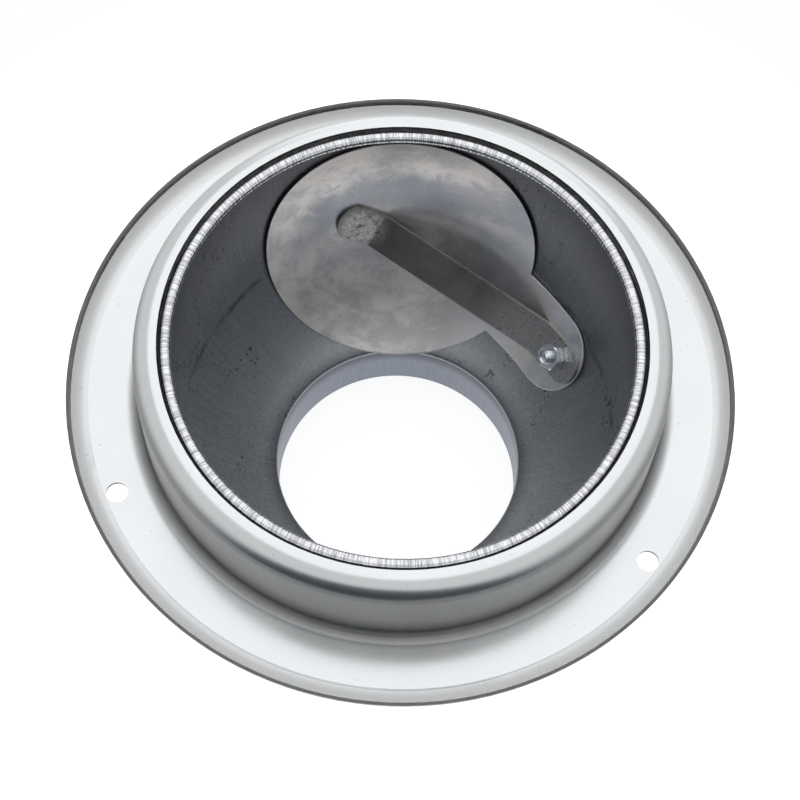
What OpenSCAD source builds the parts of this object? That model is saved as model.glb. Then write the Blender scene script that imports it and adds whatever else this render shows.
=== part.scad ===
// Ball jet nozzle air outlet: a spun aluminium housing, a ball that swivels in it with the outlet
// neck at its foot, and a dished damper plate that swings across the outlet on one bolt.
// Origin on the axis, in the plane of the rim's back edge, which meets the ceiling.
// +Z runs up into the duct, so the room side and the outlet neck point down.

/* [Sheet] */
// Thickness of the spun aluminium sheet
sheet_t = 1.2; // [0.8:0.1:1.6]
// Thickness of the damper plate and of its handle strap
damper_t = 1.0; // [0.8:0.1:1.2]

/* [Housing] */
// Outer radius of the quarter round that turns the rim back to the ceiling
rim_round = 7.8; // [7:0.1:9]
// Outer diameter of the collar that a 200 mm duct slips over
collar_d = 200; // [160:1:250]
// Width of the room side flange outside the collar
flange_w = 28; // [24:0.5:40]
// Height of the collar's lip above the curl along the ball's rim
lip_rise = 0.7; // [0.3:0.1:3]
// Outer radius of the collar's rolled shoulder
shoulder_round = 9.5; // [8:0.1:9.8]
// Radius of the fillet at the collar's root
root_round = 3.8; // [2:0.1:5]
// Number of fixing screw holes
hole_count = 3; // [2:1:6]
// Diameter of each fixing screw hole
hole_d = 8.5; // [4:0.5:9]
// Distance from the flange's outer edge in to the middle of each screw hole
hole_inset = 12.4; // [10:0.1:14]
// Height of the lip under the flange that holds the ball, as a depth below the rim's back edge
seat_depth = 22; // [18:0.5:24]

/* [Ball] */
// Gap between the collar's outside and the ball's outer sphere, which holds the collar's sheet and the felt
ball_inset = 5; // [4:0.1:8]
// Height of the ball's centre above the rim's back edge
ball_z = 3.85; // [3:0.05:5]
// Diameter of the curl rolled along the ball's rim
curl_d = 4.3; // [3.6:0.1:5]
// Angle above the ball's equator at which the curl lies
curl_angle = 19.64; // [17:0.02:22]
// Inner diameter of the outlet neck
outlet_d = 100; // [90:1:102]
// Length of the outlet neck below the ball
neck_length = 25; // [15:1:40]

/* [Damper] */
// Angle between the outlet's axis and the pivot bolt, seen from the ball's centre
pivot_angle = 54; // [52:0.5:56]
// Direction of the pivot bolt round the housing's axis
pivot_azimuth = 36.4; // [0:0.1:90]
// Swing from closed over the outlet to open, where it is drawn
open_angle = 87; // [60:1:95]
// Overlap of the closed plate's round edge past the outlet's bore
plate_lap = 4.9; // [3:0.1:6]
// Half the width of the ear that carries the bolt
ear_half_w = 17.6; // [14:0.2:18]
// Distance from the bolt back to the centre of the ear's round end
ear_inset = 4; // [0:0.2:5]
// Width of the handle strap
strap_w = 16.7; // [12:0.1:18]
// Angle that the strap was welded askew by, about the bolt and towards the outlet
strap_skew = 3.8; // [0:0.1:6]
// Radius of the strap's round ends
strap_end_r = 9.6; // [9:0.1:12]
// Thread diameter of the pivot bolt
bolt_d = 6; // [5:1:6]
// Length of the pivot bolt under its head
bolt_length = 14; // [13:0.5:16]

/* [Fits] */
// Gap between the ball and each felt ring, and between each felt ring and the housing
felt_gap = 0.3; // [0.3:0.05:0.5]
// Thickness of the felt ring in the front seat
felt_t = 1.0; // [0.8:0.1:1.5]
// Gap between the damper plate and the ball's inner wall
plate_gap = 0.35; // [0.3:0.05:0.6]
// Radial running clearance of the bolt in the ball
pivot_clearance = 0.08; // [0.04:0.01:0.1]
// Radial clearance of the bolt in the ear and the strap
bolt_clearance = 0.15; // [0.1:0.05:0.3]
// Gap between the ball and the washer under the bolt's head
washer_gap = 0.3; // [0.2:0.05:0.5]

/* [Hidden] */
$fn = 128;

aluminium = [0.86, 0.88, 0.90];
ball_grey = [0.42, 0.43, 0.47];
plate_grey = [0.62, 0.63, 0.65];
strap_grey = [0.45, 0.44, 0.43];
zinc = [0.75, 0.78, 0.82];
felt_grey = [0.25, 0.25, 0.26];

// A margin that lets a cut run clear of the faces it passes, and a small overlap of joined outlines
over = 1;
lap = 0.05;

collar_r = collar_d / 2;
flange_r = collar_r + flange_w;
// The flange's two faces, then the back of the collar plate that lies on it
flange_front_z = -rim_round;
flange_back_z = flange_front_z + sheet_t;
plate_back_z = flange_back_z + sheet_t;
rim_flat_r = flange_r - rim_round;
plate_edge_r = rim_flat_r - 0.1;
hole_circle_r = flange_r - hole_inset;
first_hole = 90;

ball_r = collar_r - ball_inset;
ball_in_r = ball_r - sheet_t;
// The seat's inner face leaves room for the felt ring and its two gaps
seat_in_r = ball_r + felt_gap + felt_t + felt_gap;
seat_out_r = seat_in_r + sheet_t;
seat_bend = 3;
// The seat's lower edge turns in under the felt, but stays clear of the ball
seat_turn_gap = 0.5;
felt_front_top_z = -12;
rear_felt_h = 8;

curl_rad = curl_d / 2;
// The curl touches the ball's outer sphere from inside, and the sheet ends at its height
curl_r = (ball_r - curl_rad) * cos(curl_angle);
curl_z = ball_z + (ball_r - curl_rad) * sin(curl_angle);
curl_center = [curl_r, curl_z];
curl_opening = 50;

outlet_r = outlet_d / 2;
neck_out_r = outlet_r + sheet_t;
neck_bend = 1;
neck_bend_r = neck_out_r + neck_bend;
neck_bend_z = ball_z - sqrt(pow(ball_r + neck_bend, 2) - pow(neck_bend_r, 2));
neck_bend_center = [neck_bend_r, neck_bend_z];
neck_end_z = ball_z - sqrt(pow(ball_in_r, 2) - pow(outlet_r, 2)) - neck_length;

// The damper plate is a shell between two spheres about the ball's centre
plate_out_r = ball_in_r - plate_gap;
plate_in_r = plate_out_r - damper_t;
plate_r = outlet_r + plate_lap;
strip_inset = 0.02;
// The strap is flat across its width, so its underside clears the dished plate at its corners
strap_out_r = sqrt(pow(plate_in_r, 2) - pow(strap_w / 2, 2));
strap_in_r = strap_out_r - damper_t;
// Places along the strap, as angles from the bolt towards the plate's far side
strap_start = -4.9;
strap_lift = 7;
strap_land = 59.2;
strap_end = 67.3;
// The nut's seat is where its corners meet the hollow of the strap
nut_flats = 10;
nut_h = 4.4;
nut_corner_r = nut_flats / 2 / cos(30);
nut_seat = sqrt(pow(strap_in_r, 2) - pow(nut_corner_r, 2)) - 0.02;
washer_r = 6.2;
washer_t = 1.2;
spring_r = 5.6;
spring_t = 1.4;
spring_gap = 2;
washer_seat = ball_r + washer_gap;
head_seat = washer_seat + washer_t + spring_t;
head_h = 4;

// Turns a child drawn about +Z, with +X towards the outlet, onto the pivot bolt's axis.
// Its origin is the ball's centre and its +Z runs out along the bolt.
module on_pivot() {
    translate([0, 0, ball_z])
        rotate([0, 0, pivot_azimuth])
            rotate([0, 180 - pivot_angle, 0])
                children();
}

// Turns a child drawn with the damper closed to where the open damper is.
module on_damper() {
    on_pivot()
        rotate([0, 0, open_angle])
            children();
}

// A ring between two radii about a point
module band(center, r_out, r_in) {
    translate(center)
        difference() {
            circle(r = r_out);
            circle(r = r_in);
        }
}

// Everything between two heights on the positive side of the axis
module slab(z0, z1) {
    translate([0, z0])
        square([flange_r, z1 - z0]);
}

// Fills the hollow corner at a point inside the material, up to a round about the given centre.
// The two other points are where that round touches the faces on either side.
module corner_fill(center, r, touch_a, inside, touch_b) {
    difference() {
        polygon([center, touch_a, inside, touch_b]);
        translate(center)
            circle(r = r);
    }
}

// Point on the line from one point towards another, at a distance from the first
function toward(from, to, distance) = from + (to - from) * distance / norm(to - from);

ball_center = [0, ball_z];

// The sheet's bend between the flange and the spherical seat has one centre for both faces
seat_bend_z = flange_front_z - seat_bend;
seat_bend_r = sqrt(pow(seat_out_r + seat_bend, 2) - pow(ball_z - seat_bend_z, 2));
seat_bend_center = [seat_bend_r, seat_bend_z];
seat_low_z = -seat_depth;

// What lies behind one face of the front ring: its rim round, its flange, its bend and its seat
module behind_front_face(depth) {
    face_z = flange_front_z + depth;
    translate([rim_flat_r, 0])
        circle(r = rim_round - depth);
    translate([0, face_z])
        square([rim_flat_r, over - face_z]);
    translate(ball_center)
        circle(r = seat_out_r - depth);
    corner_fill(seat_bend_center, seat_bend + depth, [seat_bend_r, face_z],
        [seat_bend_r - seat_bend, face_z + seat_bend],
        toward(ball_center, seat_bend_center, seat_out_r - depth));
}

module front_ring_outline() {
    intersection() {
        difference() {
            behind_front_face(0);
            behind_front_face(sheet_t);
        }
        slab(seat_low_z, 0);
    }
    // Turned in edge that keeps the felt ring in place
    intersection() {
        band(ball_center, seat_out_r, ball_r + seat_turn_gap);
        slab(seat_low_z, seat_low_z + sheet_t);
    }
}

module screw_holes() {
    for (i = [0 : hole_count - 1])
        rotate([0, 0, first_hole + i * 360 / hole_count])
            translate([hole_circle_r, 0, flange_front_z - over])
                cylinder(d = hole_d, h = 2 * sheet_t + 2 * over, $fn = 48);
}

module front_ring() {
    color(aluminium)
        difference() {
            rotate_extrude()
                front_ring_outline();
            screw_holes();
        }
}

lip_z = curl_z + curl_rad + lip_rise;
collar_wall_top_z = lip_z - shoulder_round;
root_z = plate_back_z + root_round;
root_r = collar_r + root_round;
shoulder_r = collar_r - shoulder_round;

module rear_collar_outline() {
    // Plate that lies on the flange
    translate([root_r, flange_back_z])
        square([plate_edge_r - root_r, sheet_t]);
    // Root bend, hollow on the outside
    intersection() {
        band([root_r, root_z], root_round + sheet_t, root_round);
        translate([root_r - root_round - sheet_t, root_z - root_round - sheet_t])
            square(root_round + sheet_t);
    }
    // Straight wall that the duct slips over
    translate([collar_r - sheet_t, root_z])
        square([sheet_t, collar_wall_top_z - root_z]);
    // Shoulder that rolls in to the lip round the ball's rim
    intersection() {
        band([shoulder_r, collar_wall_top_z], shoulder_round, shoulder_round - sheet_t);
        translate([shoulder_r, collar_wall_top_z])
            square(shoulder_round);
    }
}

module rear_collar() {
    color(aluminium)
        difference() {
            rotate_extrude()
                rear_collar_outline();
            screw_holes();
        }
}

module front_felt_ring() {
    color(felt_grey)
        rotate_extrude()
            intersection() {
                band(ball_center, ball_r + felt_gap + felt_t, ball_r + felt_gap);
                slab(seat_low_z + sheet_t + felt_gap, felt_front_top_z);
            }
}

module rear_felt_ring() {
    color(felt_grey)
        difference() {
            translate([0, 0, collar_wall_top_z - rear_felt_h])
                cylinder(r = collar_r - sheet_t - felt_gap, h = rear_felt_h);
            translate([0, 0, ball_z])
                sphere(r = ball_r + felt_gap);
        }
}

module ball_outline() {
    // Spherical wall from the neck's bend up to the curl
    intersection() {
        band(ball_center, ball_r, ball_in_r);
        polygon([
            ball_center,
            neck_bend_center,
            [2 * ball_r, neck_bend_z],
            toward(ball_center, curl_center, 2 * ball_r)
        ]);
    }
    // Curl: the sheet rolled inwards, open towards the ball's inside
    difference() {
        band(curl_center, curl_rad, curl_rad - sheet_t);
        polygon([
            curl_center,
            curl_center + curl_d * [-cos(curl_opening), -sin(curl_opening)],
            curl_center + curl_d * [0, -1]
        ]);
    }
    // Bend from the ball into the neck
    intersection() {
        band(neck_bend_center, neck_bend + sheet_t, neck_bend);
        polygon([neck_bend_center, [0, neck_bend_z], ball_center]);
    }
    translate([outlet_r, neck_end_z])
        square([sheet_t, neck_bend_z + lap - neck_end_z]);
}

module ball_shell() {
    color(ball_grey)
        difference() {
            rotate_extrude()
                ball_outline();
            on_pivot()
                translate([0, 0, ball_r - 4 * sheet_t])
                    cylinder(d = bolt_d + 2 * pivot_clearance, h = 8 * sheet_t, $fn = 48);
        }
}

// A dished round, cut from the shell between the plate's two spheres, about +Z
module dished_round(r) {
    rotate_extrude()
        intersection() {
            band([0, 0], plate_out_r, plate_in_r);
            square([r, plate_out_r]);
        }
}

// A dished strip from one angle to another, measured from +Z towards +X.
// It is a hair thinner than the rounds that it joins, so that no two faces lie in one sphere.
module dished_strip(half_w, from_angle, to_angle) {
    rotate([90, 0, 0])
        rotate([0, 0, 90 - to_angle])
            rotate_extrude(angle = to_angle - from_angle)
                intersection() {
                    band([0, 0], plate_out_r - strip_inset, plate_in_r + strip_inset);
                    translate([0, -half_w])
                        square([plate_out_r, 2 * half_w]);
                }
}

module damper_plate() {
    ear_angle = asin(ear_inset / plate_in_r);
    color(plate_grey)
        on_damper()
            difference() {
                union() {
                    rotate([0, pivot_angle, 0])
                        dished_round(plate_r);
                    rotate([0, ear_angle, 0])
                        dished_round(ear_half_w);
                    dished_strip(ear_half_w - lap, ear_angle, pivot_angle / 2);
                }
                translate([0, 0, plate_in_r / 2])
                    cylinder(d = bolt_d + 2 * bolt_clearance, h = plate_in_r, $fn = 48);
            }
}

// The strap's edge seen from its side, in polar terms: angle from the bolt, radius from the ball's centre
function polar(angle, r) = [r * sin(angle), r * cos(angle)];

// What lies inside one face of the strap: a round with a flat cut across it for the grip
module inside_strap_face(r) {
    difference() {
        circle(r = r);
        polygon([polar(strap_lift, r), polar(strap_lift, 2 * r), polar(strap_land, 2 * r), polar(strap_land, r)]);
    }
}

module strap_outline() {
    reach = 2 * plate_in_r;
    intersection() {
        difference() {
            inside_strap_face(strap_out_r);
            inside_strap_face(strap_in_r);
        }
        polygon([[0, 0], polar(strap_start - 10, reach), polar(strap_end + 10, reach)]);
    }
}

// Cuts a strap end round: drawn about +Z through the end's centre, with the strap towards +X
module strap_end_cut() {
    translate([0, 0, plate_in_r / 2])
        difference() {
            translate([-3 * strap_end_r, -strap_w, 0])
                cube([3 * strap_end_r, 2 * strap_w, plate_in_r]);
            translate([0, 0, -over])
                cylinder(r = strap_end_r, h = plate_in_r + 2 * over);
        }
}

module damper_handle() {
    // The round end's centre sits back from the corners, which lie on the strap's edges
    corner_back = sqrt(pow(strap_end_r, 2) - pow(strap_w / 2, 2)) / strap_in_r * 180 / PI;
    color(strap_grey)
        on_damper()
            rotate([0, 0, -strap_skew])
                difference() {
                    translate([0, strap_w / 2, 0])
                        rotate([90, 0, 0])
                            linear_extrude(height = strap_w)
                                strap_outline();
                    rotate([0, strap_start + corner_back, 0])
                        strap_end_cut();
                    rotate([0, strap_end - corner_back, 0])
                        rotate([0, 0, 180])
                            strap_end_cut();
                    translate([0, 0, plate_in_r / 2])
                        cylinder(d = bolt_d + 2 * bolt_clearance, h = plate_in_r, $fn = 48);
                }
}

module hexagon(flats, h) {
    cylinder(r = flats / 2 / cos(30), h = h, $fn = 6);
}

// A hexagon whose corners are turned down by a cone at one end or at both
module chamfered_hexagon(flats, h, both) {
    turned = 0.35;
    intersection() {
        hexagon(flats, h);
        rotate_extrude()
            polygon([
                [0, 0],
                [flats / 2 / cos(30) - (both ? turned * 1.7 : 0), 0],
                [flats / 2 / cos(30), both ? turned : 0],
                [flats / 2 / cos(30), h - turned],
                [flats / 2 / cos(30) - turned * 1.7, h],
                [0, h]
            ]);
    }
}

module pivot_bolt() {
    end_chamfer = 0.6;
    color(zinc)
        on_pivot() {
            translate([0, 0, head_seat])
                chamfered_hexagon(nut_flats, head_h, false);
            rotate_extrude()
                polygon([
                    [0, head_seat - bolt_length],
                    [bolt_d / 2 - end_chamfer, head_seat - bolt_length],
                    [bolt_d / 2, head_seat - bolt_length + end_chamfer],
                    [bolt_d / 2, head_seat + head_h / 2],
                    [0, head_seat + head_h / 2]
                ]);
        }
}

module flat_washer() {
    color(zinc)
        on_pivot()
            translate([0, 0, washer_seat])
                difference() {
                    cylinder(r = washer_r, h = washer_t, $fn = 64);
                    translate([0, 0, -over])
                        cylinder(d = bolt_d + 2 * bolt_clearance, h = washer_t + 2 * over, $fn = 48);
                }
}

module spring_washer() {
    color(zinc)
        on_pivot()
            translate([0, 0, washer_seat + washer_t])
                difference() {
                    cylinder(r = spring_r, h = spring_t, $fn = 64);
                    translate([0, 0, -over])
                        cylinder(d = bolt_d + 2 * bolt_clearance, h = spring_t + 2 * over, $fn = 48);
                    translate([0, -spring_gap / 2, -over])
                        cube([2 * spring_r, spring_gap, spring_t + 2 * over]);
                }
}

module pivot_nut() {
    color(zinc)
        on_pivot()
            translate([0, 0, nut_seat])
                mirror([0, 0, 1])
                    difference() {
                        chamfered_hexagon(nut_flats, nut_h, true);
                        translate([0, 0, -over])
                            cylinder(d = bolt_d, h = nut_h + 2 * over, $fn = 48);
                    }
}

front_ring();
rear_collar();
front_felt_ring();
rear_felt_ring();
ball_shell();
damper_plate();
damper_handle();
pivot_bolt();
flat_washer();
spring_washer();
pivot_nut();
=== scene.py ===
"""Looks of the ball jet nozzle air outlet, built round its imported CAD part.

Everything is in metres in the part's own frame: the origin is on the housing's axis in the plane of the rim's
back edge, and +Z runs up into the duct.
"""

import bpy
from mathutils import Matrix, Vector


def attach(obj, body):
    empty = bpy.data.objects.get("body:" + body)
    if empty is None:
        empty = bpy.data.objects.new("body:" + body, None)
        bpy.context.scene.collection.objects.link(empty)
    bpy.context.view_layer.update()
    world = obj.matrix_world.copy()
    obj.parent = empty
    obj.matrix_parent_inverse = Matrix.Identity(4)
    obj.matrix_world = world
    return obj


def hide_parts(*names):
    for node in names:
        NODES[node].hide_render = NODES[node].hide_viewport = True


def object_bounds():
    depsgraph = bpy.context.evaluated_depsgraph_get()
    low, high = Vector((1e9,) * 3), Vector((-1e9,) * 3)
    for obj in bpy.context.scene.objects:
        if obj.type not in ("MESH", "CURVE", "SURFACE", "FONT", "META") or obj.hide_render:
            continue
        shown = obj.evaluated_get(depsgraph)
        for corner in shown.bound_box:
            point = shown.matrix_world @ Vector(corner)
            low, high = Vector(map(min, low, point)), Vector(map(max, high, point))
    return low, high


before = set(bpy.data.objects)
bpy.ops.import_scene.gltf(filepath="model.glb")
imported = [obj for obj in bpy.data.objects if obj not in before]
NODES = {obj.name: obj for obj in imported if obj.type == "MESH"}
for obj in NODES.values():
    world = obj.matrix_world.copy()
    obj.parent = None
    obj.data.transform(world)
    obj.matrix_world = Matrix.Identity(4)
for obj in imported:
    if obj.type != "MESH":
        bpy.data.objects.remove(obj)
CAD_BOX = [list(corner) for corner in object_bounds()]

import math
import random

import bmesh
import bpy
from mathutils import Matrix, Vector, noise

bl_info = {
    "name": "Ball Jet Nozzle Outlet",
    "version": (1, 0, 0),
    "blender": (4, 5, 0),
    "location": "3D View > Sidebar > Air Outlet",
    "description": "Finishes, spun ball and stage of a ball jet nozzle air outlet",
    "category": "Object",
}

MM = 0.001

# Forms that scene.py shares with the part's source, in metres
SHEET = 1.2 * MM
BALL_CENTER = Vector((0, 0, 3.85 * MM))
BALL_R = 95 * MM
BALL_IN_R = BALL_R - SHEET
CURL_RAD = 2.15 * MM
CURL_ANGLE = math.radians(19.64)
CURL_R = (BALL_R - CURL_RAD) * math.cos(CURL_ANGLE)
CURL_Z = BALL_CENTER.z + (BALL_R - CURL_RAD) * math.sin(CURL_ANGLE)
CURL_END = math.radians(230)
NECK_IN_R = 50 * MM
NECK_OUT_R = NECK_IN_R + SHEET
NECK_LENGTH = 25 * MM
NECK_END_Z = BALL_CENTER.z - math.sqrt(BALL_IN_R ** 2 - NECK_IN_R ** 2) - NECK_LENGTH
BEND_RAD = 1 * MM
BEND_R = NECK_OUT_R + BEND_RAD
BEND_Z = BALL_CENTER.z - math.sqrt((BALL_R + BEND_RAD) ** 2 - BEND_R ** 2)
# The middle of the arc in the collar's shoulder
SHOULDER_R = 90.5 * MM
SHOULDER_Z = 28.4 * MM
SHOULDER_RAD = 9.5 * MM
# The painted shade on the collar's wall runs up to its lip and out to its root, and fades out over these spans
WALL_SHADE_UP_TO = (32 * MM, 36 * MM)
WALL_SHADE_OUT_TO = (102.6 * MM, 106 * MM)
# On the flange: the ring that holds the screw holes, whose walls are painted with shade, where the satin zone
# starts, and the cut edge of the rim, past which a dark reflection is painted
HOLES_FROM_R = 110 * MM
HOLES_TO_R = 120.3 * MM
SATIN_FROM_R = 120.5 * MM
RIM_EDGE_R = 126.2 * MM
RIM_EDGE_Z = -2.2 * MM
PIVOT_ANGLE = math.radians(54)
PIVOT_AZIMUTH = math.radians(36.4)
BOLT_R = 3 * MM
BOLT_HOLE_R = BOLT_R + 0.08 * MM
THREAD_PITCH = 1 * MM
THREAD_DEPTH = 0.6 * MM
# How far the thread's inner end runs into the nut
THREAD_SUNK = 0.4 * MM
# The middle of the strap's end under the nut, and how far its worn bright metal fades out from there
PIVOT_FOOT = Vector((56.0, 42.7, -57.5)) * MM
FOOT_SPAN = (14 * MM, 46 * MM)
# The middle of the strap's end that is welded to the damper plate, and how far its heat marks fade out
PAD = Vector((-26.4, 82.0, -29.2)) * MM
PAD_SPAN = (6 * MM, 13 * MM)
# On the ball's wall: the heights between which its painted shade goes from light to dark, and its crease
INNER_SHADE_SPAN = (-80 * MM, -24 * MM)
CREASE_Z = -36 * MM
# On the damper plate: a painted band of dark bluish reflection across it, which sinks past its knee, and the corner
# that hands have rubbed
REFLECTION_BAND_Z = -10 * MM
REFLECTION_BAND_HALF_W = (4 * MM, 14 * MM)
REFLECTION_BAND_FROM_X = (-60 * MM, -40 * MM)
REFLECTION_BAND_KNEE_X = -25 * MM
RUBBED_FROM_X = (6 * MM, 34 * MM)
RUBBED_UP_TO = (-24 * MM, -14 * MM)
# The floor ends here, and beyond it the white world shows
FLOOR_R = 280 * MM
# The room's light, in degrees: how high the middle of each part is lifted from the far horizon, the angle from there
# in which it is full, and the angle at which it ends
SOFTBOX = (69, 41, 47)
FAR_STRIP = (6, 16, 34)
DARK_BELOW = (203, 35, 52)
CAMERA_SHIFT = (-0.0018, -0.0236)


def pivot_matrix():
    """Turns a child drawn about +Z, with +X towards the outlet, onto the pivot bolt's axis."""
    return (
        Matrix.Translation(BALL_CENTER)
        @ Matrix.Rotation(PIVOT_AZIMUTH, 4, "Z")
        @ Matrix.Rotation(math.pi - PIVOT_ANGLE, 4, "Y")
    )


# Settings that a user would change


class FinishSettings(bpy.types.PropertyGroup):
    """Colours and gloss of the metals and of the felt."""

    aluminium: bpy.props.FloatVectorProperty(
        name="Aluminium", description="Colour of the polished housing",
        subtype="COLOR", size=3, min=0, max=1, default=(0.75, 0.76, 0.77),
    )
    housing_gloss: bpy.props.FloatProperty(
        name="Housing Roughness", description="Roughness of the polished housing",
        subtype="FACTOR", min=0.05, max=1, default=0.2,
    )
    ball: bpy.props.FloatVectorProperty(
        name="Ball", description="Colour of the ball's wall, left as it came off the lathe",
        subtype="COLOR", size=3, min=0, max=1, default=(0.335, 0.35, 0.375),
    )
    neck: bpy.props.FloatVectorProperty(
        name="Neck", description="Colour of the outlet neck's inner wall",
        subtype="COLOR", size=3, min=0, max=1, default=(0.25, 0.275, 0.33),
    )
    curl: bpy.props.FloatVectorProperty(
        name="Curl", description="Colour of the curl along the ball's rim",
        subtype="COLOR", size=3, min=0, max=1, default=(0.78, 0.785, 0.81),
    )
    damper: bpy.props.FloatVectorProperty(
        name="Damper", description="Colour of the damper plate's mill finish",
        subtype="COLOR", size=3, min=0, max=1, default=(0.92, 0.915, 0.92),
    )
    strap: bpy.props.FloatVectorProperty(
        name="Strap", description="Colour of the damper's handle strap",
        subtype="COLOR", size=3, min=0, max=1, default=(0.21, 0.208, 0.205),
    )
    zinc: bpy.props.FloatVectorProperty(
        name="Zinc", description="Colour of the plated bolt, nut and washers",
        subtype="COLOR", size=3, min=0, max=1, default=(0.86, 0.91, 0.96),
    )
    felt: bpy.props.FloatVectorProperty(
        name="Felt", description="Colour of the sealing rings",
        subtype="COLOR", size=3, min=0, max=1, default=(0.42, 0.42, 0.425),
    )


class CurlSettings(bpy.types.PropertyGroup):
    """The crimps that spinning left in the ball's curled rim."""

    crimps: bpy.props.IntProperty(
        name="Crimps", description="How many crimps run round the curl", min=60, max=500, default=340,
    )
    depth: bpy.props.FloatProperty(
        name="Depth", description="How deep the crimps are", subtype="DISTANCE", unit="LENGTH",
        min=0, max=0.0005, default=0.00020,
    )
    seed: bpy.props.IntProperty(
        name="Seed", description="Picks another set of uneven crimps", min=0, max=999, default=7,
    )


class StageSettings(bpy.types.PropertyGroup):
    """The camera's place and the light."""

    distance: bpy.props.FloatProperty(
        name="Distance", description="From the camera to the origin", subtype="DISTANCE", unit="LENGTH",
        min=0.2, max=5, default=0.77797,
    )
    elevation: bpy.props.FloatProperty(
        name="Elevation", description="Height of the camera above the horizon", subtype="ANGLE",
        min=-1.5, max=1.5, default=1.129194,
    )
    azimuth: bpy.props.FloatProperty(
        name="Azimuth", description="Turn of the camera round the axis, from the front towards +X",
        subtype="ANGLE", min=-3.2, max=3.2, default=math.radians(4.85),
    )
    roll: bpy.props.FloatProperty(
        name="Roll", description="Turn of the camera about its own view", subtype="ANGLE",
        min=-1, max=1, default=-0.0493836,
    )
    lens: bpy.props.FloatProperty(
        name="Lens", description="Focal length on a 36 mm sensor", subtype="DISTANCE_CAMERA",
        min=10, max=300, default=91.357,
    )
    softbox: bpy.props.FloatProperty(
        name="Softbox Strength", description="Brightness of the softbox over the object",
        min=0, max=10, default=1.2,
    )
    room: bpy.props.FloatProperty(
        name="Room Strength", description="Brightness of the grey walls round the softbox",
        min=0, max=10, default=0.74,
    )
    dark: bpy.props.FloatProperty(
        name="Dark Strength", description="Brightness of the unlit part of the room behind the camera",
        min=0, max=10, default=0.12,
    )


class OutletSettings(bpy.types.PropertyGroup):
    """All the settings of the air outlet."""

    finish: bpy.props.PointerProperty(type=FinishSettings, name="Finish", description="Colours and gloss")
    curl: bpy.props.PointerProperty(type=CurlSettings, name="Curl", description="Crimps of the curl")
    stage: bpy.props.PointerProperty(type=StageSettings, name="Stage", description="Camera and light")


def settings():
    return bpy.context.scene.air_outlet


# Shader maths


class Socket:
    """One output of a shader tree, with Python's operators for its Math nodes."""

    def __init__(self, tree, output):
        self.tree = tree
        self.output = output

    def math(self, operation, *values):
        return self.tree.node("ShaderNodeMath", {"operation": operation}, dict(enumerate(values)))

    def __add__(self, other):
        return self.math("ADD", self, other)

    def __radd__(self, other):
        return self.math("ADD", other, self)

    def __sub__(self, other):
        return self.math("SUBTRACT", self, other)

    def __rsub__(self, other):
        return self.math("SUBTRACT", other, self)

    def __mul__(self, other):
        return self.math("MULTIPLY", self, other)

    def __rmul__(self, other):
        return self.math("MULTIPLY", other, self)

    def __pow__(self, other):
        return self.math("POWER", self, other)

    def __gt__(self, other):
        return self.math("GREATER_THAN", self, other)

    def __lt__(self, other):
        return self.math("LESS_THAN", self, other)


class ShaderTree:
    """A node tree whose nodes come from one method."""

    def __init__(self, node_tree):
        self.nodes = node_tree.nodes
        self.links = node_tree.links
        self.nodes.clear()

    def node(self, kind, options=None, sockets=None, out=0):
        """Adds a node, first with its settings, then with the values or links of its sockets."""
        made = self.nodes.new(kind)
        for key, value in (options or {}).items():
            setattr(made, key, value)
        for key, value in (sockets or {}).items():
            target = made.inputs[key]
            if isinstance(value, Socket):
                self.links.new(value.output, target)
            elif target.type == "RGBA" and len(value) == 3:
                target.default_value = (*value, 1)
            else:
                target.default_value = value
        return Socket(self, made.outputs[out]) if len(made.outputs) else made

    def axes(self, vector):
        """The three parts of a vector."""
        parts = self.node("ShaderNodeSeparateXYZ", None, {0: vector})
        return [Socket(self, output) for output in parts.output.node.outputs]

    def vector(self, x, y, z):
        return self.node("ShaderNodeCombineXYZ", None, {0: x, 1: y, 2: z})

    def place(self):
        """The point on the surface in the piece's own frame, in metres."""
        return self.node("ShaderNodeTexCoord", None, None, "Object")

    def noise(self, vector, scale, detail=3.0, roughness=0.5, distortion=0.0):
        return self.node(
            "ShaderNodeTexNoise", None,
            {"Vector": vector, "Scale": scale, "Detail": detail, "Roughness": roughness, "Distortion": distortion},
            "Fac",
        )

    def size(self, value):
        """A value without its sign."""
        return value.math("ABSOLUTE", value)

    def from_point(self, vector, point):
        """How far a place is from a fixed point."""
        return self.node("ShaderNodeVectorMath", {"operation": "DISTANCE"}, {0: vector, 1: point}, "Value")

    def stretched(self, vector, factors):
        return self.node("ShaderNodeVectorMath", {"operation": "MULTIPLY"}, {0: vector, 1: factors})

    def spread(self, value, low, high, to_low=0.0, to_high=1.0):
        """Maps a range of values smoothly to another, and stays inside it."""
        return self.node(
            "ShaderNodeMapRange", {"interpolation_type": "SMOOTHSTEP"},
            {"Value": value, "From Min": low, "From Max": high, "To Min": to_low, "To Max": to_high},
        )

    def blend(self, factor, first, second):
        """Mixes two colours. The node's colour sockets stand after those of its other kinds."""
        return self.node("ShaderNodeMix", {"data_type": "RGBA"}, {0: factor, 6: first, 7: second}, 2)

    def ray(self, kind):
        """1 where a ray of this kind looks, such as Camera or Glossy."""
        return self.node("ShaderNodeLightPath", None, None, f"Is {kind} Ray")

    def eased(self, radius):
        """Normals that round a piece's edges off, to catch the light as a broken edge does."""
        return self.node("ShaderNodeBevel", {"samples": 6}, {"Radius": radius})

    def bump(self, height, distance, strength=1.0, normal=None):
        sockets = {"Height": height, "Distance": distance, "Strength": strength}
        if normal is not None:
            sockets["Normal"] = normal
        return self.node("ShaderNodeBump", None, sockets)

    def metal(self, colour, roughness, normal=None, **constants):
        sockets = {"Base Color": colour, "Roughness": roughness, "Metallic": 1.0}
        sockets.update({key.replace("_", " ").title(): value for key, value in constants.items()})
        if normal is not None:
            sockets["Normal"] = normal
        shader = self.node("ShaderNodeBsdfPrincipled", None, sockets)
        self.node("ShaderNodeOutputMaterial", None, {"Surface": shader})


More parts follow.
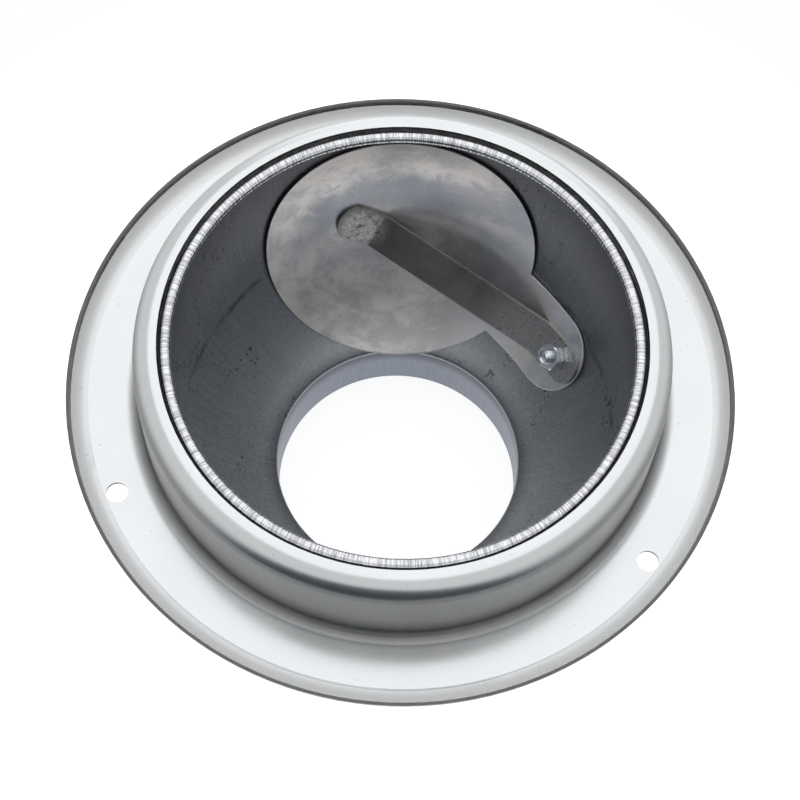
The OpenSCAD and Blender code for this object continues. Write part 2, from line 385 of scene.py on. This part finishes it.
def new_finish(name):
    """A material with an empty node tree."""
    material = bpy.data.materials.new(name)
    material.use_nodes = True
    return material, ShaderTree(material.node_tree)


def shade(colour, factor):
    return tuple(part * factor for part in colour)


def turned_place(tree):
    """Where a point of a turned piece is: its radius, its height and its angle round the axis."""
    point = tree.place()
    x, y, z = tree.axes(point)
    radius = (x * x + y * y) ** 0.5
    angle = tree.node("ShaderNodeMath", {"operation": "ARCTAN2"}, {0: y, 1: x})
    return point, radius, z, angle


def lathe_marks(tree, radius, height, angle, scale):
    """Fine rings that wander a little as they run round."""
    around = tree.vector(radius * scale, height * scale, angle * 0.6)
    return tree.noise(around, 1.0, 2.0, 0.6)


def polished_aluminium(name, shaded_wall=False):
    """The housing's finish: a painted dark reflection on the cut edge round the rim, or for the collar painted shade
    over its wall and root.
    """
    finish = settings().finish
    material, tree = new_finish(name)
    point, radius, height, angle = turned_place(tree)
    rings = lathe_marks(tree, radius, height, angle, 2600.0)
    clouds = tree.noise(point, 28.0, 4.0, 0.55, 0.4)
    specks = tree.spread(tree.noise(point, 620.0, 2.0, 0.5), 0.735, 0.76)
    base = tree.blend(
        tree.spread(clouds, 0.35, 0.7), shade(finish.aluminium, 0.965), tuple(finish.aluminium)
    )
    if shaded_wall:
        # Painted shade: the collar's outer wall and its root fillet are darkened, with streaks
        over = height.math("MAXIMUM", height - SHOULDER_Z, 0.0)
        outside = ((radius - SHOULDER_R) ** 2.0 + over ** 2.0) ** 0.5 > SHOULDER_RAD - SHEET / 2
        up_to_lip = tree.spread(height, *WALL_SHADE_UP_TO, 1.0, 0.0)
        out_to_root = tree.spread(radius, *WALL_SHADE_OUT_TO, 1.0, 0.0)
        wall = up_to_lip * out_to_root * outside
        streaks = tree.noise(tree.vector(angle * 14.0, height * 30.0, 0.0), 1.0, 3.0, 0.6)
        painted_wall_shade = tree.blend(streaks, shade(finish.aluminium, 0.32), shade(finish.aluminium, 0.41))
        base = tree.blend(wall, base, painted_wall_shade)
        satin = wall * 0.75
    else:
        # Painted dark reflection: past the rim's cut edge the colour is painted near black, mottled by noise
        edge = (radius > RIM_EDGE_R) * (height > RIM_EDGE_Z)
        painted_shade_tone = tree.noise(tree.vector(angle * 30.0, radius * 900.0, height * 900.0), 1.0, 3.0, 0.6)
        base = tree.blend(edge, base, tree.blend(painted_shade_tone, (0.07, 0.07, 0.072), (0.17, 0.17, 0.175)))
        # Painted shade: the upright walls of the screw holes are painted near black
        upward = tree.axes(tree.node("ShaderNodeTexCoord", None, None, "Normal"))[2]
        hole = (upward * upward < 0.1) * (radius > HOLES_FROM_R) * (radius < HOLES_TO_R)
        base = tree.blend(hole, base, (0.06, 0.06, 0.06))
        satin = (radius > SATIN_FROM_R) * (1 - edge)
        base = tree.blend(satin, base, (0.97, 0.975, 0.98))
    colour = tree.blend(specks * 0.45, base, (0.30, 0.30, 0.29))
    roughness = finish.housing_gloss + (clouds - 0.5) * 0.10 + (rings - 0.5) * 0.05 + satin * 0.2
    metallic = 1.0 if shaded_wall else 1 - satin * 0.8
    tree.metal(colour, roughness, tree.bump(rings, 0.000008, 0.15), Metallic=metallic)
    return material


def ball_wall_finish(name):
    """Painted shade inside near the rim and painted light lower down, painted shade over the bend into the neck,
    with a crease, pits and scratches.
    """
    finish = settings().finish
    material, tree = new_finish(name)
    point, radius, height, angle = turned_place(tree)
    rings = lathe_marks(tree, radius, height, angle, 1500.0)
    clouds = tree.noise(point, 22.0, 5.0, 0.6, 0.6)
    grain = tree.noise(point, 900.0, 3.0, 0.7)
    strokes = tree.noise(tree.vector(angle * 90.0, height * 30.0, 0.0), 1.0, 4.0, 0.65, 0.4)
    inside = tree.from_point(point, BALL_CENTER) < BALL_R - SHEET / 2
    # Painted shade and light: the inside is scaled darker towards the rim and lighter lower down
    painted_shade_tone = 1.0 + inside * tree.spread(height + (clouds - 0.5) * 0.03, *INNER_SHADE_SPAN, 0.3, -0.52)
    base = tree.blend(tree.spread(clouds, 0.3, 0.7), shade(finish.ball, 0.86), shade(finish.ball, 1.04))
    grained = tree.blend(tree.spread(grain * 0.6 + strokes * 0.4, 0.40, 0.66), base, shade(finish.ball, 1.3))
    patches = tree.spread(tree.noise(point, 34.0, 3.0, 0.6, 0.8), 0.54, 0.66)
    pits = tree.spread(tree.noise(point, 560.0, 2.0, 0.5), 0.58, 0.64) * patches
    wander = tree.noise(tree.vector(angle * 1.2, 0.0, 0.0), 1.0, 3.0, 0.6)
    from_crease = tree.size(height - CREASE_Z - (wander - 0.5) * 0.014)
    crease = tree.spread(from_crease, 0.2 * MM, 2 * MM, 1.0, 0.0)
    broken = tree.spread(tree.noise(tree.vector(angle * 5.0, height * 160.0, 0.0), 1.0, 4.0, 0.7), 0.42, 0.62)
    marks = (crease * broken * 0.75 + pits * 0.85) * inside
    marked = tree.blend(marks, grained, shade(finish.ball, 0.28))
    # Painted shade: the inside is darkened over the bend into the neck
    bend = tree.spread(height, BEND_Z, BEND_Z + 6 * MM, 1.0, 0.0)
    colour = tree.blend(bend * inside * 0.7, marked, shade(finish.ball, 0.22))
    shaded = tree.node("ShaderNodeVectorMath", {"operation": "SCALE"}, {0: colour, "Scale": painted_shade_tone})
    roughness = 0.40 + (clouds - 0.5) * 0.16 + (grain - 0.5) * 0.1
    tree.metal(shaded, roughness, tree.bump(rings * 0.4 + grain * 0.5 - marks * 0.4, 0.00005, 0.5))
    return material


def neck_finish(name):
    finish = settings().finish
    material, tree = new_finish(name)
    point, radius, height, angle = turned_place(tree)
    strokes = tree.noise(tree.vector(angle * 160.0, height * 60.0, 0.0), 1.0, 4.0, 0.65)
    clouds = tree.noise(point, 40.0, 3.0, 0.5)
    bare = tree.blend(tree.spread(strokes, 0.3, 0.75), shade(finish.neck, 0.82), shade(finish.neck, 1.12))
    # Painted shade: the neck's inner wall is darkened towards the bend at its top
    root = tree.spread(height, BEND_Z - 9 * MM, BEND_Z - 1 * MM)
    colour = tree.blend(root * 0.8, bare, shade(finish.neck, 0.36))
    roughness = 0.42 + (clouds - 0.5) * 0.12 + (strokes - 0.5) * 0.15
    tree.metal(colour, roughness, tree.bump(strokes, 0.00005, 0.5))
    return material


def curl_finish(name):
    finish = settings().finish
    material, tree = new_finish(name)
    point, radius, height, angle = turned_place(tree)
    wrinkles = tree.noise(tree.vector(angle * 130.0, height * 130.0, radius * 130.0), 1.0, 3.0, 0.65)
    colour = tree.blend(tree.spread(wrinkles, 0.3, 0.7), shade(finish.curl, 0.48), shade(finish.curl, 1.15))
    roughness = 0.15 + (wrinkles - 0.5) * 0.16
    tree.metal(colour, roughness, tree.bump(wrinkles, 0.00010, 0.6))
    return material


def damper_finish(name):
    """Rolled sheet with its cloudy mill finish, warm and cool by turns, fine specks and handling marks, and a
    painted band of dark bluish reflection across it.
    """
    finish = settings().finish
    material, tree = new_finish(name)
    point = tree.place()
    clouds = tree.noise(point, 20.0, 5.0, 0.62, 0.35)
    tints = tree.noise(tree.stretched(point, (1.0, 1.3, 0.8)), 24.0, 5.0, 0.6, 0.3)
    smudges = tree.noise(tree.stretched(point, (1.0, 1.6, 1.2)), 75.0, 7.0, 0.72, 0.5)
    grain = tree.noise(point, 1400.0, 2.0, 0.6)
    x, y, z = tree.axes(point)
    # Painted reflection: a dark bluish band across the dished plate, sinking past its knee
    drop = x.math("MAXIMUM", REFLECTION_BAND_KNEE_X - x, 0.0)
    off = z - REFLECTION_BAND_Z + drop * 0.65 + (smudges - 0.5) * 0.022 + (clouds - 0.5) * 0.02
    reflection_band = tree.spread(tree.size(off), *REFLECTION_BAND_HALF_W, 1.0, 0.0) * tree.spread(x, *REFLECTION_BAND_FROM_X)
    rubbed = tree.spread(x, *RUBBED_FROM_X) * tree.spread(z, *RUBBED_UP_TO, 1.0, 0.0)
    specks = tree.spread(tree.noise(point, 560.0, 3.0, 0.6), 0.66, 0.76)
    cool = tree.blend(tree.spread(clouds, 0.38, 0.60), (0.66, 0.685, 0.73), tuple(finish.damper))
    base = tree.blend(tree.spread(tints, 0.42, 0.62), cool, (0.88, 0.85, 0.82))
    patches = tree.spread(tints * 0.55 + smudges * 0.45, 0.42, 0.58)
    dulled = tree.blend(1 - rubbed, base, tree.blend(patches, shade(finish.damper, 0.60), (0.88, 0.84, 0.81)))
    with_reflection_band = tree.blend(reflection_band * 0.7, dulled, (0.33, 0.36, 0.42))
    smudged = tree.blend(tree.spread(smudges, 0.52, 0.72) * 0.3, with_reflection_band, shade(finish.damper, 0.45))
    speckled = tree.blend(specks * 0.35, smudged, shade(finish.damper, 0.35))
    colour = tree.blend(tree.spread(grain, 0.5, 0.8) * 0.3, speckled, shade(finish.damper, 1.15))
    roughness = 0.42 + (clouds - 0.5) * 0.3 + (grain - 0.5) * 0.08
    tree.metal(colour, roughness, tree.bump(grain * 0.4 + smudges * 0.6, 0.00004, 0.4, tree.eased(0.7 * MM)))
    return material


def strap_finish(name):
    finish = settings().finish
    material, tree = new_finish(name)
    point = tree.place()
    clouds = tree.noise(point, 45.0, 5.0, 0.6, 0.8)
    grain = tree.noise(point, 1300.0, 3.0, 0.65)
    pits = tree.spread(tree.noise(point, 520.0, 1.0, 0.4), 0.66, 0.72)
    from_pad = tree.from_point(point, PAD)
    welded = tree.spread(from_pad + (clouds - 0.5) * 0.006, *PAD_SPAN, 1.0, 0.0)
    scars = tree.spread(tree.noise(point, 330.0, 3.0, 0.6), 0.52, 0.62) * welded
    base = tree.blend(tree.spread(clouds, 0.35, 0.68), shade(finish.strap, 0.8), shade(finish.strap, 1.15))
    base = tree.blend(welded, base, shade(finish.strap, 3.3))
    foot = tree.spread(tree.from_point(point, PIVOT_FOOT), *FOOT_SPAN, 1.0, 0.0)
    base = tree.blend(foot, base, shade(finish.strap, 2.3))
    grained = tree.blend(tree.spread(grain, 0.4, 0.75), base, shade(finish.strap, 1.2))
    colour = tree.blend(pits * 0.4 + scars * 0.55, grained, (0.10, 0.095, 0.09))
    roughness = 0.40 + (clouds - 0.5) * 0.2 + pits * 0.1
    tree.metal(colour, roughness, tree.bump(grain * 0.5 - pits, 0.00005, 0.5, tree.eased(0.9 * MM)))
    return material


def zinc_finish(name):
    finish = settings().finish
    material, tree = new_finish(name)
    point = tree.place()
    clouds = tree.noise(point, 210.0, 4.0, 0.6, 0.8)
    marks = tree.noise(point, 1500.0, 2.0, 0.6)
    colour = tree.blend(tree.spread(clouds, 0.35, 0.7), shade(finish.zinc, 0.84), shade(finish.zinc, 1.1))
    roughness = 0.24 + (clouds - 0.5) * 0.14
    tree.metal(colour, roughness, tree.bump(marks, 0.00002, 0.5))
    return material


def felt_finish(name):
    finish = settings().finish
    material, tree = new_finish(name)
    point = tree.place()
    fibres = tree.noise(point, 1800.0, 4.0, 0.75, 1.5)
    clumps = tree.noise(point, 240.0, 3.0, 0.6)
    colour = tree.blend(tree.spread(fibres * 0.6 + clumps * 0.4, 0.35, 0.65),
                        shade(finish.felt, 0.6), shade(finish.felt, 1.8))
    shader = tree.node("ShaderNodeBsdfPrincipled", None, {
        "Base Color": colour, "Roughness": 0.95, "Sheen Weight": 0.35, "Sheen Roughness": 0.6,
        "Normal": tree.bump(fibres * 0.5 + clumps * 0.5, 0.0003, 0.8),
    })
    tree.node("ShaderNodeOutputMaterial", None, {"Surface": shader})
    return material


# Mesh helpers


def link_piece(name, mesh, materials, body, replaced=()):
    """Puts a mesh in the scene as a piece that rides on a body."""
    mesh.validate()
    piece = bpy.data.objects.new(name, mesh)
    bpy.context.scene.collection.objects.link(piece)
    for material in materials:
        mesh.materials.append(material)
    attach(piece, body)
    if replaced:
        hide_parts(*replaced)
    return piece


def dress(name, finish):
    """Gives a CAD node its finish."""
    materials = NODES[name].data.materials
    materials.clear()
    materials.append(finish)


def smooth(mesh, angle):
    """Smooth shading that keeps edges above an angle sharp."""
    mesh.polygons.foreach_set("use_smooth", [True] * len(mesh.polygons))
    mesh.set_sharp_from_angle(angle=math.radians(angle))


def arc(center, radius, start, end, steps):
    """Points along an arc of an outline, in radius and height, both ends included."""
    return [
        (center[0] + radius * math.cos(start + (end - start) * i / steps),
         center[1] + radius * math.sin(start + (end - start) * i / steps))
        for i in range(steps + 1)
    ]


def turned_mesh(name, outline, segments, move=None, finish_of=None):
    """Turns a closed outline about the Z axis. move(angle, index) shifts a point of the outline."""
    count = len(outline)
    verts = []
    for i in range(segments):
        angle = math.tau * i / segments
        for j, (radius, height) in enumerate(outline):
            if move:
                dr, dz = move(angle, j)
                radius, height = radius + dr, height + dz
            verts.append((radius * math.cos(angle), radius * math.sin(angle), height))
    faces = []
    for i in range(segments):
        here, there = i * count, (i + 1) % segments * count
        for j in range(count):
            k = (j + 1) % count
            faces.append((here + j, there + j, there + k, here + k))
    mesh = bpy.data.meshes.new(name)
    mesh.from_pydata(verts, [], faces)
    if finish_of:
        mesh.polygons.foreach_set("material_index", [finish_of(j) for _ in range(segments) for j in range(count)])
    return mesh


def applied(piece):
    """Replaces a piece's mesh by what its modifiers make of it."""
    graph = bpy.context.evaluated_depsgraph_get()
    mesh = bpy.data.meshes.new_from_object(piece.evaluated_get(graph))
    piece.modifiers.clear()
    old = piece.data
    piece.data = mesh
    bpy.data.meshes.remove(old)
    return piece


# Operators, one for each piece or group of like pieces


class OUTLET_OT_housing(bpy.types.Operator):
    """Finishes the flange and the collar, one spun sheet each"""

    bl_idname = "air_outlet.housing"
    bl_label = "Housing"

    def execute(self, context):
        dress("front_ring", polished_aluminium("polished_flange"))
        dress("rear_collar", polished_aluminium("polished_collar", True))
        return {"FINISHED"}


class OUTLET_OT_felt_rings(bpy.types.Operator):
    """Finishes the two felt rings that the ball turns in"""

    bl_idname = "air_outlet.felt_rings"
    bl_label = "Felt Rings"

    def execute(self, context):
        finish = felt_finish("felt")
        for name in ("front_felt_ring", "rear_felt_ring"):
            dress(name, finish)
        return {"FINISHED"}


def ball_wall_outline():
    """The ball's wall and its neck, up to where the curl starts, and the outline's index where the neck ends."""
    center = (0.0, BALL_CENTER.z)
    bend = (BEND_R, BEND_Z)
    bend_to_ball = math.atan2(BALL_CENTER.z - BEND_Z, -BEND_R)
    low = bend_to_ball - math.pi
    wall_steps, neck_steps = 56, 6
    edge = 0.15 * MM
    outside = [(NECK_OUT_R - edge, NECK_END_Z), (NECK_OUT_R, NECK_END_Z + edge)]
    outside += [(NECK_OUT_R, NECK_END_Z + (BEND_Z - NECK_END_Z) * i / neck_steps) for i in range(1, neck_steps)]
    outside += arc(bend, BEND_RAD, math.pi, bend_to_ball, 4)
    outside += arc(center, BALL_R, low, CURL_ANGLE, wall_steps)[1:]
    inside = arc(center, BALL_IN_R, CURL_ANGLE, low, wall_steps)
    inside += arc(bend, BEND_RAD + SHEET, bend_to_ball, math.pi, 6)[1:]
    neck_start = len(outside) + len(inside) - 1
    inside += [(NECK_IN_R, BEND_Z + (NECK_END_Z - BEND_Z) * i / neck_steps) for i in range(1, neck_steps)]
    inside += [(NECK_IN_R, NECK_END_Z + edge), (NECK_IN_R + edge, NECK_END_Z)]
    return outside + inside, neck_start


class OUTLET_OT_ball(bpy.types.Operator):
    """Spins the ball's wall and neck, with the hole for the pivot bolt"""

    bl_idname = "air_outlet.ball"
    bl_label = "Ball"

    def execute(self, context):
        outline, neck_start = ball_wall_outline()
        mesh = turned_mesh("ball_wall", outline, 384, None, lambda j: int(j >= neck_start))
        piece = link_piece(
            "ball_wall", mesh, [ball_wall_finish("ball_wall"), neck_finish("neck_wall")], "ball",
            ("ball_shell",),
        )
        drill_mesh = bpy.data.meshes.new("drill")
        shape = bmesh.new()
        bmesh.ops.create_cone(
            shape, cap_ends=True, segments=48, radius1=BOLT_HOLE_R, radius2=BOLT_HOLE_R, depth=20 * MM,
            matrix=pivot_matrix() @ Matrix.Translation((0, 0, BALL_R)),
        )
        shape.to_mesh(drill_mesh)
        shape.free()
        drill = bpy.data.objects.new("drill", drill_mesh)
        context.scene.collection.objects.link(drill)
        cut = piece.modifiers.new("bolt_hole", "BOOLEAN")
        cut.operation = "DIFFERENCE"
        cut.object = drill
        cut.solver = "EXACT"
        applied(piece)
        bpy.data.objects.remove(drill)
        smooth(piece.data, 35)
        return {"FINISHED"}


def crimp_profile(count, seed):
    """Uneven crimps round the curl: a function from the angle to a height between 0 and 1."""
    rng = random.Random(seed)
    widths = [0.55 + rng.random() * 0.9 for _ in range(count)]
    total = sum(widths)
    starts, tops = [0.0], []
    for width in widths:
        starts.append(starts[-1] + width / total * math.tau)
        tops.append(0.45 + rng.random() * 0.55)
    def height(angle):
        low, high = 0, count
        while high - low > 1:
            middle = (low + high) // 2
            if starts[middle] <= angle:
                low = middle
            else:
                high = middle
        along = (angle - starts[low]) / (starts[low + 1] - starts[low])
        return tops[low] * math.sin(math.pi * along) ** 0.9
    return height


class OUTLET_OT_curl(bpy.types.Operator):
    """Rolls the crimped curl along the ball's rim"""

    bl_idname = "air_outlet.curl"
    bl_label = "Curl"

    def execute(self, context):
        curl = settings().curl
        center = (CURL_R, CURL_Z)
        join = math.acos((BALL_IN_R ** 2 - (BALL_R - CURL_RAD) ** 2 - CURL_RAD ** 2)
                         / (2 * (BALL_R - CURL_RAD) * CURL_RAD))
        rolled = arc(center, CURL_RAD, CURL_ANGLE, CURL_END, 22)
        hollow = arc(center, CURL_RAD - SHEET, CURL_END, -math.pi / 2, 12)
        lower = arc(center, CURL_RAD, -math.pi / 2, CURL_ANGLE - join, 3)
        in_ball = lower[-1]
        low = math.atan2(in_ball[1] - BALL_CENTER.z, in_ball[0])
        wall = arc((0.0, BALL_CENTER.z), BALL_IN_R + 0.1 * MM, low, CURL_ANGLE, 2)[1:]
        outline = rolled + hollow + lower + wall
        height = crimp_profile(curl.crimps, curl.seed)
        bearing = [
            math.atan2(z - CURL_Z, r - CURL_R) % math.tau if j < len(rolled) + len(hollow) else 0.0
            for j, (r, z) in enumerate(outline)
        ]
        # The crimps grow from nothing where the roll leaves the ball to full at its top
        weight = [
            max(0.0, min(1.0, (angle - math.radians(25)) / math.radians(60))) if j < len(rolled) else 0.0
            for j, angle in enumerate(bearing)
        ]
        # The cut edge at the roll's end waves with the crimps too
        for j in range(len(rolled), len(rolled) + 3):
            weight[j] = 0.8

        def crimp(angle, j):
            if not weight[j]:
                return 0.0, 0.0
            wobble = noise.noise(Vector((math.cos(angle) * 60, math.sin(angle) * 60, bearing[j] * 0.6)))
            push = (height(angle) - 0.85 + wobble * 0.35) * curl.depth * weight[j]
            return push * math.cos(bearing[j]), push * math.sin(bearing[j])

        mesh = turned_mesh("ball_curl", outline, curl.crimps * 6, crimp)
        smooth(mesh, 50)
        link_piece("ball_curl", mesh, [curl_finish("curl")], "ball", ("ball_shell",))
        return {"FINISHED"}


class OUTLET_OT_damper(bpy.types.Operator):
    """Finishes the dished damper plate and its handle strap"""

    bl_idname = "air_outlet.damper"
    bl_label = "Damper"

    def execute(self, context):
        dress("damper_plate", damper_finish("damper_steel"))
        dress("damper_handle", strap_finish("strap_steel"))
        return {"FINISHED"}


def thread_mesh(name, low, high, pitch, r_out, r_in, segments):
    """A threaded rod about +Z: a helix of ridges between a root and a crest, closed at both ends."""
    rows = int((high - low) / pitch * 10)
    chamfer = r_in * 0.93
    verts, faces = [], []
    for j in range(rows + 1):
        z = low + (high - low) * j / rows
        lead_in = min(1.0, (z - low) / (0.9 * pitch))
        for i in range(segments):
            angle = math.tau * i / segments
            phase = ((z - low) / pitch - i / segments) % 1.0
            ridge = 1 - abs(2 * phase - 1)
            ridge = min(1.0, max(0.0, (ridge - 0.12) / 0.72))
            radius = r_in + (r_out - r_in) * ridge
            radius = min(radius, chamfer + (r_out - chamfer) * lead_in)
            verts.append((radius * math.cos(angle), radius * math.sin(angle), z))
    for j in range(rows):
        for i in range(segments):
            k = (i + 1) % segments
            faces.append((j * segments + i, j * segments + k, (j + 1) * segments + k, (j + 1) * segments + i))
    faces.append(tuple(reversed(range(segments))))
    faces.append(tuple(range(rows * segments, (rows + 1) * segments)))
    mesh = bpy.data.meshes.new(name)
    mesh.from_pydata(verts, [], faces)
    return mesh


class OUTLET_OT_fasteners(bpy.types.Operator):
    """Finishes the bolt, nut and washers of the damper's pivot"""

    bl_idname = "air_outlet.fasteners"
    bl_label = "Fasteners"

    def execute(self, context):
        finish = zinc_finish("zinc")
        for name in ("pivot_nut", "flat_washer", "spring_washer"):
            dress(name, finish)
        self.thread_bolt(finish)
        return {"FINISHED"}

    def thread_bolt(self, finish):
        """The bolt with the turns of its thread that stand out of the nut."""
        pivot = pivot_matrix()
        back = pivot.inverted()
        tip = min((back @ v.co).z for v in NODES["pivot_bolt"].data.vertices)
        face = min((back @ v.co).z for v in NODES["pivot_nut"].data.vertices)
        shape = bmesh.new()
        shape.from_mesh(NODES["pivot_bolt"].data)
        cut = bmesh.ops.bisect_plane(
            shape, geom=shape.verts[:] + shape.edges[:] + shape.faces[:], dist=1e-7, clear_inner=True,
            plane_co=pivot @ Vector((0, 0, face)), plane_no=pivot.to_3x3() @ Vector((0, 0, 1)),
        )
        bmesh.ops.holes_fill(shape, edges=[part for part in cut["geom_cut"] if isinstance(part, bmesh.types.BMEdge)])
        mesh = bpy.data.meshes.new("threaded_bolt")
        shape.to_mesh(mesh)
        shape.free()
        thread = thread_mesh("thread", tip, face + THREAD_SUNK, THREAD_PITCH, BOLT_R, BOLT_R - THREAD_DEPTH, 40)
        thread.transform(pivot)
        joined = bmesh.new()
        joined.from_mesh(mesh)
        joined.from_mesh(thread)
        joined.to_mesh(mesh)
        joined.free()
        bpy.data.meshes.remove(thread)
        mesh.materials.clear()
        smooth(mesh, 40)
        link_piece("threaded_bolt", mesh, [finish], "ball", ("pivot_bolt",))


class OUTLET_OT_stage(bpy.types.Operator):
    """Sets the floor, the light and the camera"""

    bl_idname = "air_outlet.stage"
    bl_label = "Stage"

    def execute(self, context):
        self.lay_floor(context)
        self.light_room(context)
        self.place_camera(context)
        context.scene.view_settings.view_transform = "Standard"
        return {"FINISHED"}

    def lay_floor(self, context):
        mesh = bpy.data.meshes.new("floor")
        shape = bmesh.new()
        bmesh.ops.create_circle(shape, cap_ends=True, segments=96, radius=FLOOR_R)
        shape.to_mesh(mesh)
        shape.free()
        floor = bpy.data.objects.new("floor", mesh)
        floor.location.z = CAD_BOX[0][2] - 0.2 * MM
        context.scene.collection.objects.link(floor)
        material, tree = new_finish("floor")
        seen = tree.ray("Camera") + tree.ray("Glossy") + tree.ray("Transmission")
        matte = tree.node("ShaderNodeBsdfDiffuse", None, {"Color": (0.55, 0.55, 0.55)})
        glow = tree.node("ShaderNodeEmission", None, {"Color": (1.0, 1.0, 1.0), "Strength": seen * 0.80})
        both = tree.node("ShaderNodeAddShader", None, {0: matte, 1: glow})
        tree.node("ShaderNodeOutputMaterial", None, {"Surface": both})
        mesh.materials.append(material)

    def light_room(self, context):
        """A softbox over the object, a strip of light at the far horizon and the dark below the camera."""
        stage = settings().stage
        world = bpy.data.worlds.new("studio")
        world.use_nodes = True
        context.scene.world = world
        tree = ShaderTree(world.node_tree)
        direction = tree.node("ShaderNodeTexCoord", None, None, "Generated")

        def cone(lift, inner, outer):
            """How far a direction is inside a cone round an axis that is lifted from the far horizon."""
            aim = (0.0, math.cos(math.radians(lift)), math.sin(math.radians(lift)))
            level = tree.node("ShaderNodeVectorMath", {"operation": "DOT_PRODUCT"}, {0: direction, 1: aim}, "Value")
            return tree.spread(level, math.cos(math.radians(outer)), math.cos(math.radians(inner)))

        box = cone(*SOFTBOX)
        strip = cone(*FAR_STRIP)
        dark = cone(*DARK_BELOW)
        strength = stage.room + dark * (stage.dark - stage.room) + box * (stage.softbox - stage.room)
        strength = strength + strip * (1 - box) * (stage.softbox - stage.room)
        colour = tree.blend(dark, (0.985, 0.995, 1.0), (0.72, 0.85, 1.0))
        lit = tree.node("ShaderNodeBackground", None, {"Color": colour, "Strength": strength})
        white = tree.node("ShaderNodeBackground", None, {"Color": (1.0, 1.0, 1.0), "Strength": 1.0})
        both = tree.node("ShaderNodeMixShader", None, {0: tree.ray("Camera"), 1: lit, 2: white})
        tree.node("ShaderNodeOutputWorld", None, {"Surface": both})

    def place_camera(self, context):
        stage = settings().stage
        level, lift = stage.azimuth, stage.elevation
        back = Vector((math.sin(level) * math.cos(lift), -math.cos(level) * math.cos(lift), math.sin(lift)))
        across = Vector((math.cos(level), math.sin(level), 0))
        up = back.cross(across)
        right = math.cos(stage.roll) * across - math.sin(stage.roll) * up
        top = math.sin(stage.roll) * across + math.cos(stage.roll) * up
        data = bpy.data.cameras.new("camera")
        data.sensor_width = 36
        data.lens = stage.lens
        data.shift_x, data.shift_y = CAMERA_SHIFT
        camera = bpy.data.objects.new("camera", data)
        turn = Matrix((right, top, back)).transposed().to_4x4()
        camera.matrix_world = Matrix.Translation(back * stage.distance) @ turn
        context.scene.collection.objects.link(camera)
        context.scene.camera = camera


class OUTLET_PT_panel(bpy.types.Panel):
    """Lists the steps that dress the air outlet."""

    bl_idname = "OUTLET_PT_panel"
    bl_label = "Air Outlet"
    bl_space_type = "VIEW_3D"
    bl_region_type = "UI"
    bl_category = "Air Outlet"

    def draw(self, context):
        for group in (settings().finish, settings().curl, settings().stage):
            box = self.layout.box()
            for name in group.__annotations__:
                box.prop(group, name)
        for step in STEPS:
            self.layout.operator(step.bl_idname)


STEPS = (
    OUTLET_OT_stage,
    OUTLET_OT_housing,
    OUTLET_OT_felt_rings,
    OUTLET_OT_ball,
    OUTLET_OT_curl,
    OUTLET_OT_damper,
    OUTLET_OT_fasteners,
)
CLASSES = (FinishSettings, CurlSettings, StageSettings, OutletSettings, *STEPS, OUTLET_PT_panel)


def register():
    for cls in CLASSES:
        bpy.utils.register_class(cls)
    bpy.types.Scene.air_outlet = bpy.props.PointerProperty(type=OutletSettings)


def unregister():
    del bpy.types.Scene.air_outlet
    for cls in reversed(CLASSES):
        bpy.utils.unregister_class(cls)


def main():
    register()
    for step in STEPS:
        group, name = step.bl_idname.split(".")
        getattr(getattr(bpy.ops, group), name)()


if __name__ == "__main__":
    main()
